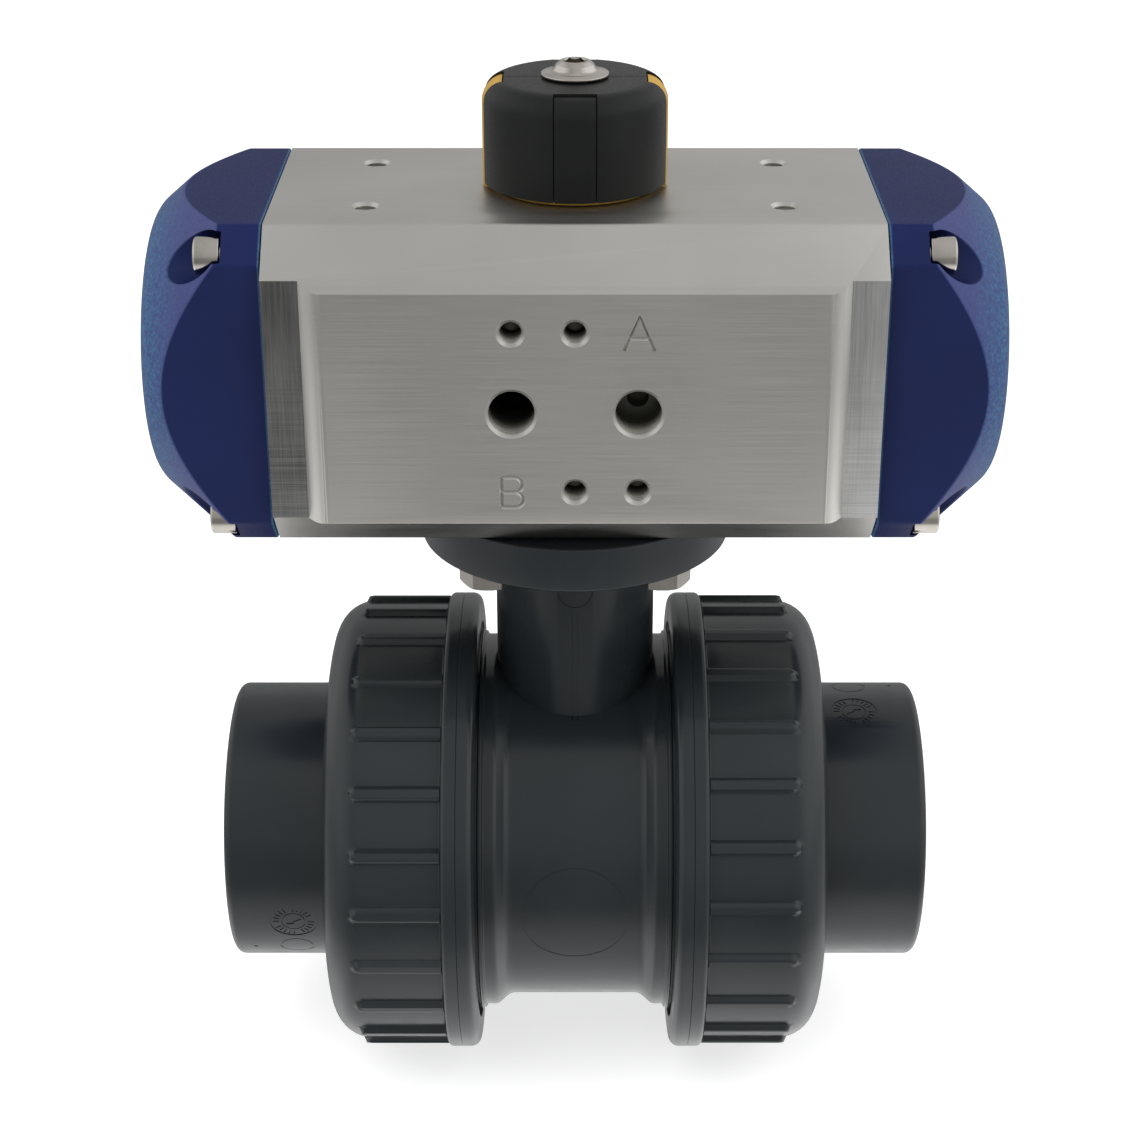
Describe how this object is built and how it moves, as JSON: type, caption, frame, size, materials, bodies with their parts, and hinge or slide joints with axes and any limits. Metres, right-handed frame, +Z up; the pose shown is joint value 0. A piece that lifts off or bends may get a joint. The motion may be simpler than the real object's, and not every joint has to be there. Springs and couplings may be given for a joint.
{
  "type": "rotary pneumatic actuator",
  "caption": "Double-acting rack-and-pinion quarter-turn actuator with domed end caps, bolted to a true-union plastic ball valve.",
  "frame": {"origin": "centre of the valve's ball, where the pipe axis meets the stem axis", "axes": "+X along the pipe and the cylinder bore, -Y towards the air ports, +Z up the stem towards the indicator"},
  "size_m": [0.1664, 0.0996, 0.2187],
  "materials": {
    "anodised_aluminium": "extruded, clear anodised, satin",
    "blue_cap": "moulded, textured end face",
    "grey_pvc": "moulded dark grey, semi-gloss",
    "indicator_black": "moulded satin black",
    "indicator_yellow": "moulded satin yellow",
    "stainless": "machined stainless steel",
    "cast_alloy": "die-cast, machined rack",
    "nitrile": "moulded seal rubber",
    "bearing_plastic": "natural acetal",
    "ptfe": "white, waxy"
  },
  "bodies": {
    "housing": {"actuator_body": "anodised_aluminium", "end_cap_left": "blue_cap", "end_cap_right": "blue_cap", "cap_gasket_left": "nitrile", "cap_gasket_right": "nitrile", "cap_screw_left_1": "stainless", "cap_screw_left_2": "stainless", "cap_screw_left_3": "stainless", "cap_screw_left_4": "stainless", "cap_screw_right_1": "stainless", "cap_screw_right_2": "stainless", "cap_screw_right_3": "stainless", "cap_screw_right_4": "stainless", "pinion_bush_lower": "bearing_plastic", "pinion_bush_upper": "bearing_plastic", "thrust_washer": "bearing_plastic", "flange_bolt_1": "stainless", "flange_bolt_2": "stainless", "flange_bolt_3": "stainless", "flange_bolt_4": "stainless", "valve_body": "grey_pvc", "ball_seat_left": "ptfe", "ball_seat_right": "ptfe", "seat_carrier": "grey_pvc", "end_seal_left": "nitrile", "end_seal_right": "nitrile"},
    "rotor": {"pinion_shaft": "stainless", "pinion_seal_lower": "nitrile", "pinion_seal_upper": "nitrile", "retaining_ring": "stainless", "indicator_knob": "indicator_black", "indicator_base": "indicator_yellow", "indicator_insert_front": "indicator_black", "indicator_insert_rear": "indicator_black", "indicator_screw": "stainless", "stem_coupling": "stainless", "valve_stem": "grey_pvc", "stem_seal_lower": "nitrile", "stem_seal_upper": "nitrile", "valve_ball": "grey_pvc"},
    "piston_unit_left": {"piston_left": "cast_alloy", "piston_seal_left": "nitrile", "piston_band_left": "bearing_plastic"},
    "piston_unit_right": {"piston_right": "cast_alloy", "piston_seal_right": "nitrile", "piston_band_right": "bearing_plastic"},
    "pipe_end_unit_left": {"union_end_left": "grey_pvc"},
    "pipe_end_unit_right": {"union_end_right": "grey_pvc"},
    "nut_left": {"union_nut_left": "grey_pvc"},
    "nut_right": {"union_nut_right": "grey_pvc"}
  },
  "joints": [
    {"name": "quarter_turn", "type": "hinge", "parent": "housing", "child": "rotor", "pos_m": [0, 0, 0.1122], "axis": [0, 0, -1], "range_deg": [0, 90]},
    {"name": "piston_left_stroke", "type": "slide", "parent": "housing", "child": "piston_unit_left", "axis": [1, 0, 0], "range_m": [0, 0.0189]},
    {"name": "piston_right_stroke", "type": "slide", "parent": "housing", "child": "piston_unit_right", "axis": [-1, 0, 0], "range_m": [0, 0.0189]},
    {"name": "union_end_left_travel", "type": "slide", "parent": "housing", "child": "pipe_end_unit_left", "axis": [-1, 0, 0], "range_m": [0, 0.0151]},
    {"name": "union_end_right_travel", "type": "slide", "parent": "housing", "child": "pipe_end_unit_right", "axis": [1, 0, 0], "range_m": [0, 0.0151]},
    {"name": "union_nut_left_turn", "type": "hinge", "parent": "pipe_end_unit_left", "child": "nut_left", "pos_m": [-0.036, 0, 0], "axis": [-1, 0, 0], "range_deg": [0, 1080]},
    {"name": "union_nut_right_turn", "type": "hinge", "parent": "pipe_end_unit_right", "child": "nut_right", "pos_m": [0.036, 0, 0], "axis": [1, 0, 0], "range_deg": [0, 1080]}
  ],
  "couplings": [
    {"joint": "piston_left_stroke", "follows": "quarter_turn", "m_per_rad": 0.012},
    {"joint": "piston_right_stroke", "follows": "quarter_turn", "m_per_rad": 0.012},
    {"joint": "union_end_left_travel", "follows": "union_nut_left_turn", "m_per_rad": 0.00079577},
    {"joint": "union_end_right_travel", "follows": "union_nut_right_turn", "m_per_rad": 0.00079577}
  ]
}
